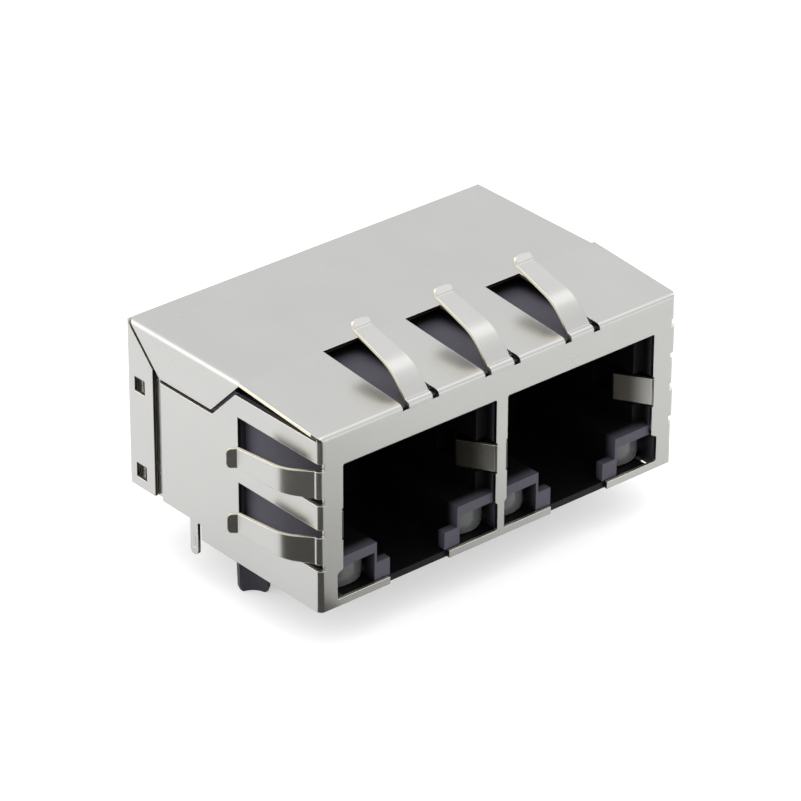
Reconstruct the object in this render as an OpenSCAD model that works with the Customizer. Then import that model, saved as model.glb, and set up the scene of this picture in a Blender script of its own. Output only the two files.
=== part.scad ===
// Two-port modular jack for a circuit board, with lamps and coils inside.
// One folded metal shield is wrapped round a black moulding that holds everything else.
// X runs along the width, Y from the plug face to the back, and Z up from the board.
// The origin is on the board's surface, halfway between the two locating pegs.

/* [Shield] */
// Depth from the plug face to the back
shield_d = 20.9; // [20.3:0.1:24]
// Height of the plug face
front_h = 13.4; // [13.2:0.05:14.4]
// How much higher the level part of the roof lies
roof_rise = 0.7; // [0.4:0.05:1]
// Depth of the roof's sloping part, behind the plug face
slope_d = 8.5; // [8.4:0.1:9]
// Thickness of the sheet
sheet_t = 0.25; // [0.2:0.01:0.3]
// Radius inside each fold
bend_r = 0.12; // [0.08:0.01:0.2]
// Slit between panels that are folded together
seam = 0.3; // [0.2:0.05:0.4]
// Height of the shield's lower edge above the board, behind the tails
rear_sill = 1.2; // [0.9:0.05:1.4]
// Height above the board where the roof's side flanges end
flange_z = 10.8; // [10:0.1:11.2]
// Length of the rear flaps along the sides
flap_d = 2.95; // [2.6:0.05:3.3]

/* [Shield fingers] */
// Width of a spring finger at its root
finger_root_w = 2.06; // [1.8:0.02:2.4]
// Width of a spring finger at its tip
finger_tip_w = 1.36; // [1:0.02:1.6]
// Width of the slot that a finger is cut from
finger_slot_w = 3.2; // [2.9:0.1:3.6]
// Length of the slot that a finger is cut from
finger_slot_l = 8.35; // [8:0.05:8.4]
// Angle at which a roof finger rises from its fold, in degrees
roof_finger_slope = 38; // [34:1:42]
// Angle that the crest of a roof finger turns through, in degrees
roof_crest_angle = 36; // [32:1:40]
// Radius of a roof finger's crest
roof_crest_r = 4.2; // [3.6:0.1:4.6]
// Length of a roof finger's straight run behind the crest
roof_finger_run = 2.75; // [2.5:0.05:3]
// Angle at which a side finger rises from its fold, in degrees
side_finger_slope = 52; // [48:1:56]
// Angle that the crest of a side finger turns through, in degrees
side_crest_angle = 34; // [30:1:38]
// Radius of a side finger's crest
side_crest_r = 3; // [2.6:0.1:3.4]
// Length of a side finger's straight run behind the crest
side_finger_run = 3.3; // [3:0.05:3.5]
// Height of the lower finger of each side panel
low_finger_z = 4.8; // [4.4:0.1:5.2]
// Height of the upper finger of each side panel
high_finger_z = 9.85; // [9.4:0.05:10.1]

/* [Shield tails and latches] */
// Width of a soldering tail
tail_w = 0.8; // [0.7:0.05:1.1]
// How far a tail reaches below the board's surface
tail_l = 1.5; // [1.3:0.1:2.2]
// Distance of the tails' centre line from the plug face
tail_y = 13.65; // [13.4:0.05:14.2]
// Size of the square latch windows in the rear flaps
latch_window = 1.14; // [1:0.02:1.3]
// Height of the lower latch windows
low_latch_z = 2.5; // [2.2:0.1:3.4]
// Height of the upper latch windows
high_latch_z = 9.3; // [8.4:0.1:9.6]

/* [Ports] */
// Width of a port's window in the plug face
window_w = 13.6; // [13.4:0.05:13.7]
// Width of the bar between the two windows
window_bar = 1; // [0.9:0.05:1.4]
// Width of the plug face beside each window
face_side = 2; // [1.8:0.1:3]
// Height of a window's upper edge
window_top = 10.85; // [10.7:0.05:11.2]
// Height of the strip of sheet under the lamps
sill_h = 0.55; // [0.45:0.05:0.65]
// How much wider a window is at its outer lamp
outer_step = 0.5; // [0.4:0.02:0.6]
// How much wider a window is at its inner lamp
inner_step = 0.2; // [0.1:0.01:0.24]
// Width of the gap in the lower strip, under a plug's latch
latch_gap_w = 5.3; // [5:0.1:5.6]
// Width of the ground springs that fold into the ports
ground_w = 2.05; // [1.8:0.05:2.3]
// Height of the ground springs' centre line
ground_z = 6.25; // [6.1:0.05:6.4]
// Length of the ground springs' slanted part
ground_l = 2.9; // [2.6:0.1:3]

/* [Moulding] */
// Clearance between the sheet and the moulding
fit_gap = 0.05; // [0.03:0.01:0.08]
// Width of the space for a plug
plug_room_w = 12; // [11.9:0.05:12.2]
// Height of the ledges that a plug slides on
ledge_z = 3.5; // [3.4:0.05:3.6]
// Thickness of the ledges
ledge_t = 0.75; // [0.7:0.05:0.85]
// Thickness of the moulding's edge over the mouth of a port, under the contact carrier
lintel_t = 0.3; // [0.25:0.05:0.35]
// Depth of the space for a plug
plug_room_d = 11.9; // [11.7:0.1:12]
// Depth of the wide mouth in front of the plug guides
mouth_d = 0.9; // [0.6:0.1:1.2]
// Width of the channel for a plug's latch
latch_room_w = 7.2; // [7:0.1:7.3]
// Width between the two catches that hold a plug's latch
catch_gap_w = 4.9; // [4.6:0.1:5.2]
// Height of the catches
catch_z = 1.9; // [1.7:0.1:2.1]
// Depth of the catches
catch_d = 0.65; // [0.5:0.05:0.9]
// Depth of the comb that keeps the contacts' free ends apart
comb_d = 1.1; // [0.9:0.1:1.3]
// Thickness of the floor
floor_t = 0.5; // [0.4:0.05:0.55]
// Thickness of the top wall
top_wall = 0.6; // [0.5:0.05:0.7]
// Thickness of the wall behind a plug
back_wall = 0.7; // [0.6:0.05:0.9]
// Thickness of the wall between a lamp and the latch channel
lamp_wall = 0.2; // [0.15:0.01:0.25]
// Depth of the recess behind each side finger
finger_recess = 0.4; // [0.3:0.05:0.6]

/* [Pegs] */
// Diameter of the locating pegs
peg_d = 3.05; // [2.9:0.05:3.2]
// How far the pegs reach below the board's surface
peg_l = 3.4; // [3:0.1:3.6]
// Distance of each peg's centre from the side panel beside it
peg_inset = 2.6; // [2.4:0.1:2.8]
// Distance of the pegs from the plug face
peg_y = 10.2; // [10:0.1:10.6]
// Length of the full round root of each peg
peg_root = 0.9; // [0.7:0.05:1]
// How much the radius of the fluted part shrinks on its way down
peg_taper = 0.06; // [0.04:0.01:0.12]

/* [Lamps] */
// Clearance round a lamp in its pocket
lamp_gap = 0.1; // [0.06:0.01:0.14]
// Length of a lamp
lamp_l = 4; // [3.6:0.1:4.2]
// Distance of a lamp's front from the plug face
lamp_y = 1.05; // [0.95:0.05:1.2]
// Distance between a lamp's two leads
lead_pitch = 1.27; // [1.2:0.01:1.4]
// Thickness of the leads
lead_t = 0.4; // [0.35:0.01:0.45]
// Distance of the leads' downward run from the plug face
lead_y = 7.4; // [7.2:0.1:7.5]
// How far the leads reach below the board's surface
lead_l = 2.25; // [2:0.05:2.3]

/* [Contacts] */
// Distance between neighbouring contacts
contact_pitch = 1.02; // [0.98:0.01:1.04]
// Width of a contact
contact_w = 0.4; // [0.35:0.01:0.45]
// Thickness of a contact
contact_t = 0.25; // [0.2:0.01:0.28]
// Height of the contacts' level run in the front plate of their carrier
contact_up = 0.4; // [0.35:0.05:0.5]
// Distance of the contacts' front bend from the plug face
contact_front = 3.8; // [3.75:0.05:4.2]
// Downward slope of a contact's free arm, in degrees
contact_slope = 20; // [18:0.5:21]
// Length of a contact's free arm
contact_arm = 6.8; // [6.4:0.1:7]

/* [Inner pieces] */
// Distance between neighbouring signal pins
pin_pitch = 1.27; // [1.2:0.01:1.3]
// Distance between the two rows of signal pins
pin_row = 2.54; // [2.4:0.01:2.7]
// Distance of the front row of signal pins from the plug face
pin_y = 14.4; // [14.2:0.1:14.8]
// Diameter of the signal pins
pin_d = 0.46; // [0.4:0.02:0.5]
// How far the signal pins reach below the board's surface
pin_l = 2.8; // [2.4:0.1:3]
// How deep the signal pins sit in the coil module
pin_seat = 2.4; // [2:0.1:3]
// Width of the chamber behind each port
chamber_w = 12.6; // [12.5:0.05:12.9]
// Thickness of the inner circuit boards
board_t = 0.8; // [0.6:0.05:0.9]
// Width of the contact carriers' front plate
carrier_w = 11.8; // [11.6:0.05:11.9]
// Thickness of the contact carriers' front plate
carrier_t = 1.55; // [1.45:0.05:1.65]
// Height of the contact carriers' rear block, over the inner circuit boards
carrier_h = 3.1; // [3:0.05:3.4]

/* [Hidden] */
contacts = 8;
ports = ["left", "right"];

bend_step = 15;
past = 1;
finger_root_l = 0.35;
finger_fold_r = 0.3;
bend_out = bend_r + sheet_t;
port_pitch = window_w + window_bar;
port_x = port_pitch / 2;
half_w = port_x + window_w / 2 + face_side;
roof_h = front_h + roof_rise;
miter = seam * sqrt(2);
side_top = front_h - sheet_t - fit_gap * 2;
panel_top = flange_z - seam;
flap_y = shield_d - flap_d;
joggle_len = 0.4;
joggle = sheet_t + fit_gap;
panel_end = flap_y - seam - joggle_len * 1.6;
panel_rear = shield_d - sheet_t - fit_gap * 6;
pocket_top = ledge_z - ledge_t + fit_gap;
ground_notch = 0.2;

house_w = half_w - sheet_t - fit_gap;
house_front = sheet_t + fit_gap;
house_rear = shield_d - sheet_t - fit_gap;
house_top = front_h - sheet_t - fit_gap;
house_sill = rear_sill - 0.15;
room_top = house_top - top_wall;
room_back = house_front + plug_room_d;
chamber_front = room_back + back_wall;
tab_room_w = window_w + ground_notch * 2;
carrier_top = room_top - fit_gap;
carrier_z = carrier_top - carrier_t;
port_top = carrier_z - lintel_t;
contact_z = carrier_z + contact_up;
board_top = carrier_top - carrier_h;
module_top = board_top - board_t - fit_gap;
inner_w = chamber_w - fit_gap * 4;
inner_front = chamber_front + fit_gap * 2;
inner_rear = house_rear - fit_gap * 2;
module_floor = rear_sill + fit_gap * 2;
carrier_front = contact_front - 0.3;
tail_row = 2;
tail_row_y = inner_front + 2.2;
pocket_near = latch_room_w / 2 + lamp_wall;
pocket_far = window_w / 2 + inner_step;
lamp_x = (pocket_near + pocket_far) / 2;
lamp_w = pocket_far - pocket_near - lamp_gap * 2;
lamp_h = ledge_z - ledge_t - floor_t - lamp_gap * 2;
lead_z = floor_t + lamp_gap + lamp_h / 2;
pocket_back = lead_y + lead_t;

function side_of(p) = p == "left" ? -1 : 1;
function unit(v) = v / norm(v);
function under_roof(y) = front_h - sheet_t + roof_rise * y / slope_d;
function contact_x(i) = (i - (contacts + 1) / 2) * contact_pitch;
function contact_tail_y(i) = tail_row_y + (i % 2) * tail_row;

// Arc that rounds the corner b of an outline, between its neighbours a and c
function corner_arc(a, b, c, r) =
    let (u = unit(a - b), v = unit(c - b), half = acos(u * v) / 2)
    let (hub = b + unit(u + v) * r / sin(half))
    let (p = b + u * r / tan(half) - hub, q = b + v * r / tan(half) - hub)
    let (from = atan2(p.y, p.x), turn = (atan2(q.y, q.x) - from + 540) % 360 - 180)
    let (steps = ceil(abs(turn) / bend_step))
    [for (k = [0:steps]) hub + r * [cos(from + turn * k / steps), sin(from + turn * k / steps)]];

// Outline whose corners are given as x, y and radius
function rounded(points) =
    [for (i = [0:len(points) - 1])
        let (a = points[(i + len(points) - 1) % len(points)], b = points[i], c = points[(i + 1) % len(points)])
        for (q = b[2] > 0
            ? corner_arc([a.x, a.y], [b.x, b.y], [c.x, c.y], b[2])
            : [[b.x, b.y]]) q];

// Middle line of a folded strip, from moves of length, turn and bend radius
function strip_line(moves, at, dir, i = 0) =
    i == len(moves) ? [] :
    let (m = moves[i], end = at + m[0] * [cos(dir), sin(dir)], side = sign(m[1]))
    let (hub = end + side * m[2] * [-sin(dir), cos(dir)], steps = ceil(abs(m[1]) / bend_step))
    let (arc = m[1] == 0 ? [[end, dir]] :
        [for (k = [0:steps]) let (a = dir + m[1] * k / steps) [hub + side * m[2] * [sin(a), -cos(a)], a]])
    concat(arc, strip_line(moves, arc[len(arc) - 1][0], dir + m[1], i + 1));

// Outline of a folded strip of thickness t
function strip(moves, at, dir, t) =
    let (line = concat([[at, dir]], strip_line(moves, at, dir)))
    concat(
        [for (s = line) s[0] + t / 2 * [-sin(s[1]), cos(s[1])]],
        [for (i = [len(line) - 1:-1:0]) line[i][0] - t / 2 * [-sin(line[i][1]), cos(line[i][1])]]
    );

// Outlines drawn in Y and Z and carried along X from x0
module side_view(x0, depth) {
    translate([x0, 0, 0]) rotate([90, 0, 90]) linear_extrude(depth) children();
}

// Outlines drawn in X and Z and carried along Y from y0
module front_view(y0, depth) {
    translate([0, y0 + depth, 0]) rotate([90, 0, 0]) linear_extrude(depth) children();
}

// Outlines drawn in X and Y and carried up from z0
module plan_view(z0, depth) {
    translate([0, 0, z0]) linear_extrude(depth) children();
}

// Block between two corners
module span(a, b) {
    translate(a) cube(b - a);
}

// The part stands with its pegs on the X axis
module on_board() {
    translate([0, -peg_y, 0]) children();
}

module both_sides() {
    children();
    mirror([1, 0, 0]) children();
}

// Shield

// Solid with the shield's outer form, drawn in by an even distance
module shield_block(inset, base) {
    r = bend_out - inset;
    w = half_w - inset;
    top = roof_h - inset;
    intersection() {
        side_view(-w, 2 * w) polygon(rounded([
            [inset, base, 0],
            [inset, front_h - inset, r],
            [slope_d, top, 0],
            [shield_d - inset, top, r],
            [shield_d - inset, base, 0]
        ]));
        plan_view(base, roof_h + past) polygon(rounded([
            [-w, inset, r],
            [w, inset, r],
            [w, shield_d - inset, r],
            [-w, shield_d - inset, r]
        ]));
        union() {
            span([-half_w, -past, base], [half_w, slope_d, roof_h + past]);
            front_view(slope_d, shield_d) polygon(rounded([
                [-w, base, 0],
                [-w, top, r],
                [w, top, r],
                [w, base, 0]
            ]));
        }
    }
}

// Side panel, seen from the side
module panel_outline() {
    slant = slope_d + roof_h - sheet_t - miter;
    polygon([
        [-past, -past],
        [panel_end, -past],
        [panel_end, panel_top],
        [slant - panel_top, panel_top],
        [slant - side_top, side_top],
        [-past, side_top]
    ]);
}

// Flange that hangs from the level part of the roof, with both ends at 45 degrees
module flange_outline() {
    top = roof_h + past;
    polygon([
        [slope_d, top],
        [slope_d, roof_h - sheet_t],
        [slope_d + roof_h - sheet_t - flange_z, flange_z],
        [shield_d - roof_h + flange_z - miter, flange_z],
        [shield_d + past - miter, top]
    ]);
}

// Flap that comes round from the back, with a mitred top
module flap_outline() {
    polygon([
        [flap_y, -past],
        [flap_y, roof_h - flap_d],
        [shield_d + past, roof_h + past],
        [shield_d + past, -past]
    ]);
}

// What is cut from the left wall to part the panels
module seams() {
    side_view(-half_w - past, past + bend_out) difference() {
        polygon([
            [bend_out, -past],
            [shield_d + past, -past],
            [shield_d + past, roof_h + past],
            [slope_d, roof_h + past],
            [slope_d, under_roof(slope_d)],
            [bend_out, under_roof(bend_out)]
        ]);
        panel_outline();
        flange_outline();
        flap_outline();
    }
}

// Rear end of the left panel, set in by one thickness to lie under the flap
module panel_tongue() {
    lean = 45;
    lap = joggle_len;
    slant = joggle / sin(lean) - tan(lean / 2) * bend_out;
    straight = panel_rear - panel_end + lap;
    moves = [
        [lap, -lean, bend_out / 2],
        [slant, lean, bend_out / 2],
        [straight - lap * 2, 0, 0]
    ];
    plan_view(rear_sill, panel_top - rear_sill)
        intersection() {
            polygon(strip(moves, [-half_w + sheet_t / 2, panel_end - lap], 90, sheet_t));
            translate([-half_w, panel_end - lap]) square([joggle + sheet_t, straight]);
        }
}

// Small spring catch that stands out of the tongue into a latch window
module latch_catch(z) {
    reach = latch_window * 0.8 - 0.2;
    w = latch_window * 0.72;
    x = -half_w + joggle + sheet_t / 2;
    root_l = 0.15;
    lift = 20;
    moves = [[root_l, -lift, bend_out], [reach, 0, 0]];
    plan_view(z - w / 2, w)
        polygon(strip(moves, [x, latch_y() + latch_window / 2], -90, sheet_t));
}

function latch_y() = shield_d - flap_d / 2;

module latch_hole(z, deep) {
    s = latch_window;
    translate([-half_w - past, latch_y() - s / 2, z - s / 2]) cube([past + deep, s, s]);
}

// Spring finger that rises from a front fold at the origin and runs back over its slot
module finger(moves) {
    root = 0.75;
    side_far = 8;
    intersection() {
        side_view(-finger_root_w / 2, finger_root_w)
            polygon(strip(moves, [sheet_t / 2, -root], 90, sheet_t));
        plan_view(-root - past, side_far)
            polygon([
                [-finger_root_w / 2, -past],
                [finger_root_w / 2, -past],
                [finger_root_w / 2, bend_out],
                [finger_tip_w / 2, side_far],
                [-finger_tip_w / 2, side_far],
                [-finger_root_w / 2, bend_out]
            ]);
    }
}

module roof_finger() {
    foot_l = 1.15;
    tip_turn = 40;
    tip_l = 0.55;
    finger([
        [finger_root_l, -roof_finger_slope, finger_fold_r],
        [foot_l, -roof_crest_angle, roof_crest_r],
        [roof_finger_run, tip_turn, finger_fold_r],
        [tip_l, 0, 0]
    ]);
}

module side_finger() {
    foot_l = 1.6;
    tip_turn = 50;
    tip_l = 0.65;
    finger([
        [finger_root_l, -side_finger_slope, finger_fold_r],
        [foot_l, -side_crest_angle, side_crest_r],
        [side_finger_run, tip_turn, finger_fold_r],
        [tip_l, 0, 0]
    ]);
}

module side_finger_slot(z) {
    wrap = bend_out + 0.15;
    slot_l = finger_slot_l + 0.3;
    translate([-half_w - past, -past, z - finger_slot_w / 2])
        cube([past + wrap, past + slot_l, finger_slot_w]);
}

// Slot round a roof finger, with round ends that reach over the front fold
module roof_finger_slot() {
    r = (finger_slot_w - finger_root_w) / 4;
    translate([-finger_slot_w / 2, -past, front_h - bend_out / 2])
        cube([finger_slot_w, past + finger_slot_l, past + roof_rise]);
    for (s = [-1, 1])
        translate([s * (finger_slot_w / 2 - r), 0, front_h - bend_out]) {
            translate([0, bend_out / 2, bend_out / 2]) rotate([45, 0, 0])
                cylinder(r = r, h = 2 * past, center = true, $fn = 36);
        }
}

// Window of the left port, with room for two lamps and a gap under the latch
module window_outline() {
    w = window_w / 2;
    round = 0.15;
    gap = latch_gap_w / 2;
    polygon(rounded([
        [-w, window_top, round],
        [w, window_top, round],
        [w, pocket_top, round],
        [w + inner_step, pocket_top - inner_step, round / 2],
        [w + inner_step, sill_h, round],
        [gap, sill_h, 0],
        [gap, -past, 0],
        [-gap, -past, 0],
        [-gap, sill_h, 0],
        [-w - outer_step, sill_h, round],
        [-w - outer_step, pocket_top - outer_step / 2, round],
        [-w, pocket_top, round]
    ]));
    for (s = [-1, 1], e = [-1, 1])
        translate([s * w, ground_z + e * (ground_w / 2 + ground_notch / 2)])
            square(ground_notch, center = true);
}

// Ground spring on the right edge of the left port's window, seen from above
module ground_spring() {
    root_l = 0.3;
    fold_r = 0.3;
    fold_x = window_w / 2 + 0.25;
    fold_turn = 58;
    tip_r = 0.35;
    tip_turn = 76;
    tip_l = 0.6;
    moves = [
        [root_l, -fold_turn, fold_r],
        [ground_l - fold_r, -tip_turn, tip_r],
        [tip_l, 0, 0]
    ];
    plan_view(ground_z - ground_w / 2, ground_w)
        polygon(strip(moves, [fold_x + root_l, sheet_t / 2], 180, sheet_t));
}

// Soldering tail of the left panel, with a groove pressed into its outer face
module tail() {
    top = rear_sill + 0.7;
    groove_r = tail_w * 0.26;
    difference() {
        translate([-half_w, tail_y, 0]) rotate([0, 90, 0]) linear_extrude(sheet_t) {
            translate([-top, -tail_w / 2]) square([top + tail_l - tail_w / 2, tail_w]);
            translate([tail_l - tail_w / 2, 0]) circle(d = tail_w, $fn = 48);
        }
        translate([-half_w - groove_r / 2, tail_y, -tail_l + tail_w * 0.7])
            cylinder(r = groove_r, h = tail_l + rear_sill, $fn = 36);
    }
}

// Round-topped relief that frees the tail's front edge
module tail_relief() {
    w = tail_w * 0.55;
    front = tail_y - tail_w / 2 - w;
    side_view(-half_w - past, past + bend_out) {
        translate([front, -past]) square([w, past + rear_sill - w / 2]);
        translate([front + w / 2, rear_sill - w / 2]) circle(d = w, $fn = 36);
    }
}

module shield_shell() {
    difference() {
        shield_block(0, 0);
        shield_block(sheet_t, -past);
        both_sides() {
            seams();
            for (z = [low_finger_z, high_finger_z]) side_finger_slot(z);
            for (z = [low_latch_z, high_latch_z]) latch_hole(z, sheet_t + fit_gap / 2);
            tail_relief();
        }
        span([-half_w - past, tail_y + tail_w / 2, -past], [half_w + past, shield_d + past, rear_sill]);
        for (k = [-1:1]) translate([k * port_x, 0, 0]) roof_finger_slot();
        both_sides() translate([-port_x, 0, 0]) front_view(-past, past + bend_out) window_outline();
    }
}

module shield() {
    color([0.78, 0.78, 0.77]) on_board() {
        shield_shell();
        for (k = [-1:1]) translate([k * port_x, 0, front_h]) roof_finger();
        both_sides() {
            for (z = [low_finger_z, high_finger_z])
                translate([-half_w, 0, z]) rotate([0, -90, 0]) side_finger();
            difference() {
                panel_tongue();
                for (z = [low_latch_z, high_latch_z]) latch_hole(z, joggle + sheet_t * 2);
            }
            for (z = [low_latch_z, high_latch_z]) latch_catch(z);
            tail();
            translate([-port_x, 0, 0]) both_sides() ground_spring();
        }
    }
}

// Moulding

// Locating peg: a round root, and four flutes down to a narrowed end
module peg() {
    r = peg_d / 2;
    lead_in = 0.5;
    fluted_l = peg_l - peg_root - lead_in;
    tip_r = r * 0.8;
    flute_r = r * 0.84;
    flute_x = r * 1.32;
    difference() {
        union() {
            translate([0, 0, -peg_root]) cylinder(r = r, h = peg_root + floor_t, $fn = 64);
            translate([0, 0, -peg_l + lead_in]) cylinder(r1 = r - peg_taper, r2 = r, h = fluted_l, $fn = 64);
            translate([0, 0, -peg_l]) cylinder(r1 = tip_r, r2 = r - peg_taper, h = lead_in, $fn = 64);
        }
        for (a = [45:90:315])
            rotate(a) translate([flute_x, 0, -peg_l - past])
                cylinder(r = flute_r, h = peg_l + past - peg_root, $fn = 64);
    }
}

// Space for a plug, its latch and the contacts
module plug_room() {
    w = plug_room_w / 2;
    mouth = window_w / 2;
    front = house_front - past;
    tab_gap = 0.2;
    latch_wall = 1.5;
    span([-mouth, front, ledge_z], [mouth, house_front + mouth_d, port_top]);
    span([-w, front, ledge_z], [w, room_back, port_top]);
    span([-tab_room_w / 2, front, ground_z - ground_w / 2 - tab_gap],
        [tab_room_w / 2, house_front + ground_l + 2, ground_z + ground_w / 2 + tab_gap]);
    span([-latch_room_w / 2, house_front + catch_d, floor_t],
        [latch_room_w / 2, room_back - latch_wall, ledge_z + past]);
    span([-latch_room_w / 2, front, catch_z], [latch_room_w / 2, house_front + catch_d + past, ledge_z + past]);
    span([-catch_gap_w / 2, front, floor_t], [catch_gap_w / 2, house_front + catch_d + past, catch_z + past]);
}

// Pocket of one lamp, open at the front and at the rear of its floor
module lamp_pocket(x, near, far) {
    span([near, house_front - past, floor_t], [far, pocket_back, ledge_z - ledge_t]);
    span([x - lamp_w / 2 + lamp_gap, lamp_y + 1, -past],
        [x + lamp_w / 2 - lamp_gap, pocket_back, floor_t + past]);
}

// Ribs between the contacts' free ends
module comb() {
    contact_play = 0.25;
    comb_low = 2;
    rib_w = contact_pitch - contact_w - contact_play;
    comb_z = contact_z - contact_arm * sin(contact_slope) - comb_low;
    for (i = [0:contacts])
        translate([(i - contacts / 2) * contact_pitch - rib_w / 2, room_back - comb_d, comb_z])
            cube([rib_w, comb_d + fit_gap, carrier_z - fit_gap - comb_z]);
}

// Everything cut for the left port
module port_room() {
    edge = carrier_w / 2 + fit_gap;
    outer = window_w / 2 + outer_step;
    notch_w = 0.75;
    notch_d = 1.1;
    difference() {
        union() {
            plug_room();
            span([-edge, carrier_front - fit_gap * 2, port_top - past], [edge, chamber_front + past, room_top]);
        }
        span([-edge - past, room_back, -past], [edge + past, chamber_front, carrier_z - fit_gap]);
        comb();
    }
    span([-chamber_w / 2, chamber_front, -past], [chamber_w / 2, house_rear + past, room_top]);
    lamp_pocket(-lamp_x, -outer, -pocket_near);
    lamp_pocket(lamp_x, pocket_near, pocket_far);
    span([-outer, house_front - past, -past],
        [-outer + notch_w, house_front + notch_d, floor_t + past]);
}

// Outer form of the moulding, rounded where the sheet is folded over it
module moulding_block() {
    intersection() {
        plan_view(0, house_top) polygon(rounded([
            [-house_w, house_front, bend_r],
            [house_w, house_front, bend_r],
            [house_w, house_rear, bend_r],
            [-house_w, house_rear, bend_r]
        ]));
        side_view(-house_w, 2 * house_w) polygon(rounded([
            [house_front, 0, 0],
            [house_front, house_top, bend_r],
            [house_rear, house_top, bend_r],
            [house_rear, 0, 0]
        ]));
    }
}

module housing() {
    relief_y = tail_y - tail_w * 1.2;
    color([0.14, 0.13, 0.16]) on_board() {
        difference() {
            moulding_block();
            span([-house_w - past, relief_y, -past], [house_w + past, house_rear + past, house_sill]);
            both_sides() {
                translate([-port_x, 0, 0]) port_room();
                for (z = [low_finger_z, high_finger_z])
                    translate([-house_w - past, house_front - past, z - finger_slot_w / 2])
                        cube([past + finger_recess, past + finger_slot_l, finger_slot_w]);
                span([-house_w - past, panel_end - fit_gap * 4, -past],
                    [-house_w + joggle, house_rear + past, panel_top + fit_gap * 2]);
            }
        }
        both_sides() translate([-half_w + peg_inset, peg_y, 0]) peg();
    }
}

// Inner pieces of one port

module contact_carrier(p) {
    w = carrier_w / 2;
    groove = contact_w + fit_gap * 2;
    color([0.2, 0.19, 0.22]) on_board() translate([side_of(p) * port_x, 0, 0]) difference() {
        union() {
            span([-w, carrier_front, carrier_z], [w, inner_rear, carrier_top]);
            span([-inner_w / 2, inner_front, board_top], [inner_w / 2, inner_rear, carrier_top]);
        }
        for (i = [1:contacts]) {
            span([contact_x(i) - groove / 2, -past, 0],
                [contact_x(i) + groove / 2, contact_tail_y(i) + contact_t, contact_z + contact_t / 2]);
        }
    }
}

module circuit_board(p) {
    color([0.1, 0.32, 0.2]) on_board() translate([side_of(p) * port_x, 0, 0]) difference() {
        span([-inner_w / 2, inner_front, board_top - board_t], [inner_w / 2, inner_rear, board_top]);
        for (i = [1:contacts])
            translate([contact_x(i), contact_tail_y(i), 0]) cylinder(r = contact_w * 0.8, h = roof_h, $fn = 32);
    }
}

function pin_at(i) = [contact_grid(i), pin_y + (i % 2) * pin_row];
function contact_grid(i) = (i - (contacts + 1) / 2) * pin_pitch;

module coil_module(p) {
    hole_r = pin_d / 2 + 0.02;
    color([0.12, 0.12, 0.13]) on_board() translate([side_of(p) * port_x, 0, 0]) difference() {
        span([-inner_w / 2, inner_front, module_floor], [inner_w / 2, inner_rear, module_top]);
        for (i = [1:contacts])
            translate([pin_at(i).x, pin_at(i).y, 0])
                cylinder(r = hole_r, h = module_floor + pin_seat, $fn = 32);
    }
}

module signal_pin(p, i) {
    r = pin_d / 2;
    tip = 0.35;
    color([0.82, 0.8, 0.72]) on_board() translate([side_of(p) * port_x + pin_at(i).x, pin_at(i).y, -pin_l]) {
        cylinder(r1 = r * 0.5, r2 = r, h = tip, $fn = 32);
        translate([0, 0, tip]) cylinder(r = r, h = pin_l - tip + module_floor + pin_seat - fit_gap, $fn = 32);
    }
}

// Contact: up through the inner board, forward over the port, then back down into it
module contact(p, i) {
    bend = 0.3;
    front_bend = 0.4;
    tip_turn = 15;
    tip_r = 1;
    tip_l = 0.5;
    foot = board_top - board_t + fit_gap;
    tail_y = contact_tail_y(i);
    moves = [
        [contact_z - foot - bend, 90, bend],
        [tail_y - bend - contact_front - contact_t / 2 - front_bend, 180 - contact_slope, front_bend],
        [contact_arm, tip_turn, tip_r],
        [tip_l, 0, 0]
    ];
    x = side_of(p) * port_x + contact_x(i);
    color([0.86, 0.7, 0.36]) on_board() side_view(x - contact_w / 2, contact_w)
        polygon(strip(moves, [tail_y, foot], 90, contact_t));
}

// Lamps

function lamp_centre(p, s) = side_of(p) * (port_x + (s == "outer" ? lamp_x : -lamp_x));

module lamp(p, s) {
    w = lamp_w / 2;
    low = floor_t + lamp_gap;
    low_round = 0.55;
    top_round = 0.3;
    bow = 2.6;
    dome = 1;
    color([0.85, 0.87, 0.88]) on_board() translate([lamp_centre(p, s), 0, 0]) intersection() {
        front_view(lamp_y, lamp_l) polygon(rounded([
            [-w, low, low_round],
            [w, low, low_round],
            [w, low + lamp_h, top_round],
            [-w, low + lamp_h, top_round]
        ]));
        union() {
            translate([0, lamp_y + bow, -past]) cylinder(r = bow, h = roof_h, $fn = 96);
            span([-lamp_w, lamp_y + dome, -past], [lamp_w, lamp_y + lamp_l + past, roof_h]);
        }
    }
}

module lamp_lead(p, s, i) {
    bend = 0.3;
    x = lamp_centre(p, s) + (i - 1.5) * lead_pitch;
    moves = [
        [lead_y - lamp_y - lamp_l - bend, -90, bend],
        [lead_z + lead_l - bend, 0, 0]
    ];
    color([0.8, 0.8, 0.79]) on_board() side_view(x - lead_t / 2, lead_t)
        polygon(strip(moves, [lamp_y + lamp_l, lead_z], 0, lead_t));
}

shield();
housing();
for (p = ports) {
    contact_carrier(p);
    circuit_board(p);
    coil_module(p);
    for (i = [1:contacts]) {
        contact(p, i);
        signal_pin(p, i);
    }
    for (s = ["outer", "inner"]) {
        lamp(p, s);
        for (i = [1:2])
            lamp_lead(p, s, i);
    }
}
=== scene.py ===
import math

import bmesh
import bpy
import numpy as np
from mathutils import Matrix, Vector
from mathutils.bvhtree import BVHTree


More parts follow.
